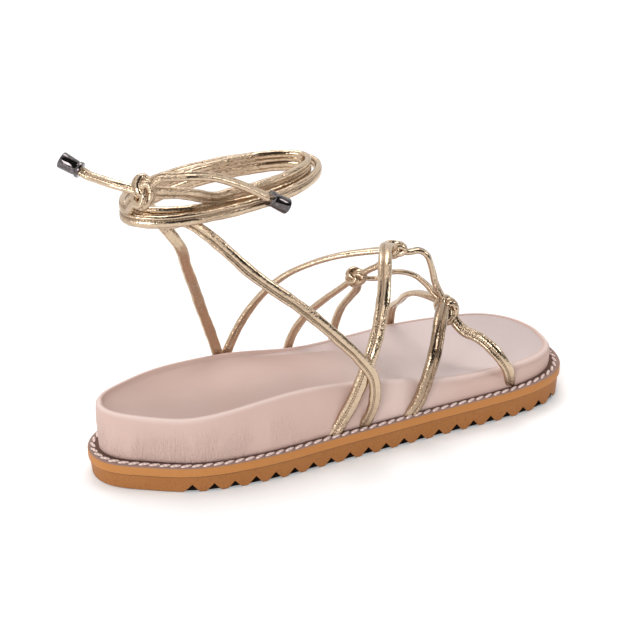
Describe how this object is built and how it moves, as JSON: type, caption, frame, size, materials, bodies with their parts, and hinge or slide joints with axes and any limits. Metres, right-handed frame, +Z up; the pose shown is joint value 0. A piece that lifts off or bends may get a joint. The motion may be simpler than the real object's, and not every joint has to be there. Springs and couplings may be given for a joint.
{
  "type": "gladiator sandal",
  "caption": "Lace-up flatform sandal for the left foot: knotted cord straps over a contoured footbed, and long ties wound round the ankle.",
  "frame": {"origin": "middle of the flat under the heel, on the floor", "axes": "+X from the heel to the toe, +Y to the outer side of the foot, +Z up"},
  "size_m": [0.2675, 0.0939, 0.1693],
  "materials": {
    "caramel_rubber": "matte, fine speckle",
    "brown_welt_board": "matte board with a thick pink running stitch",
    "nude_wrap_leather": "satin, fine grain",
    "nude_insole_leather": "satin, smooth",
    "gold_foil_leather": "metallic foil, lightly crinkled",
    "gunmetal": "dark, glossy"
  },
  "bodies": {
    "root": {"outsole": "caramel_rubber", "welt": "brown_welt_board", "footbed": "nude_wrap_leather", "insole": "nude_insole_leather", "upper": "gold_foil_leather", "ankle_tie_medial": "gold_foil_leather", "ankle_tie_lateral": "gold_foil_leather", "ankle_knot": "gold_foil_leather", "tie_end_short": "gold_foil_leather", "tie_end_long": "gold_foil_leather", "tie_tip_short": "gunmetal", "tie_tip_long": "gunmetal"}
  },
  "joints": []
}
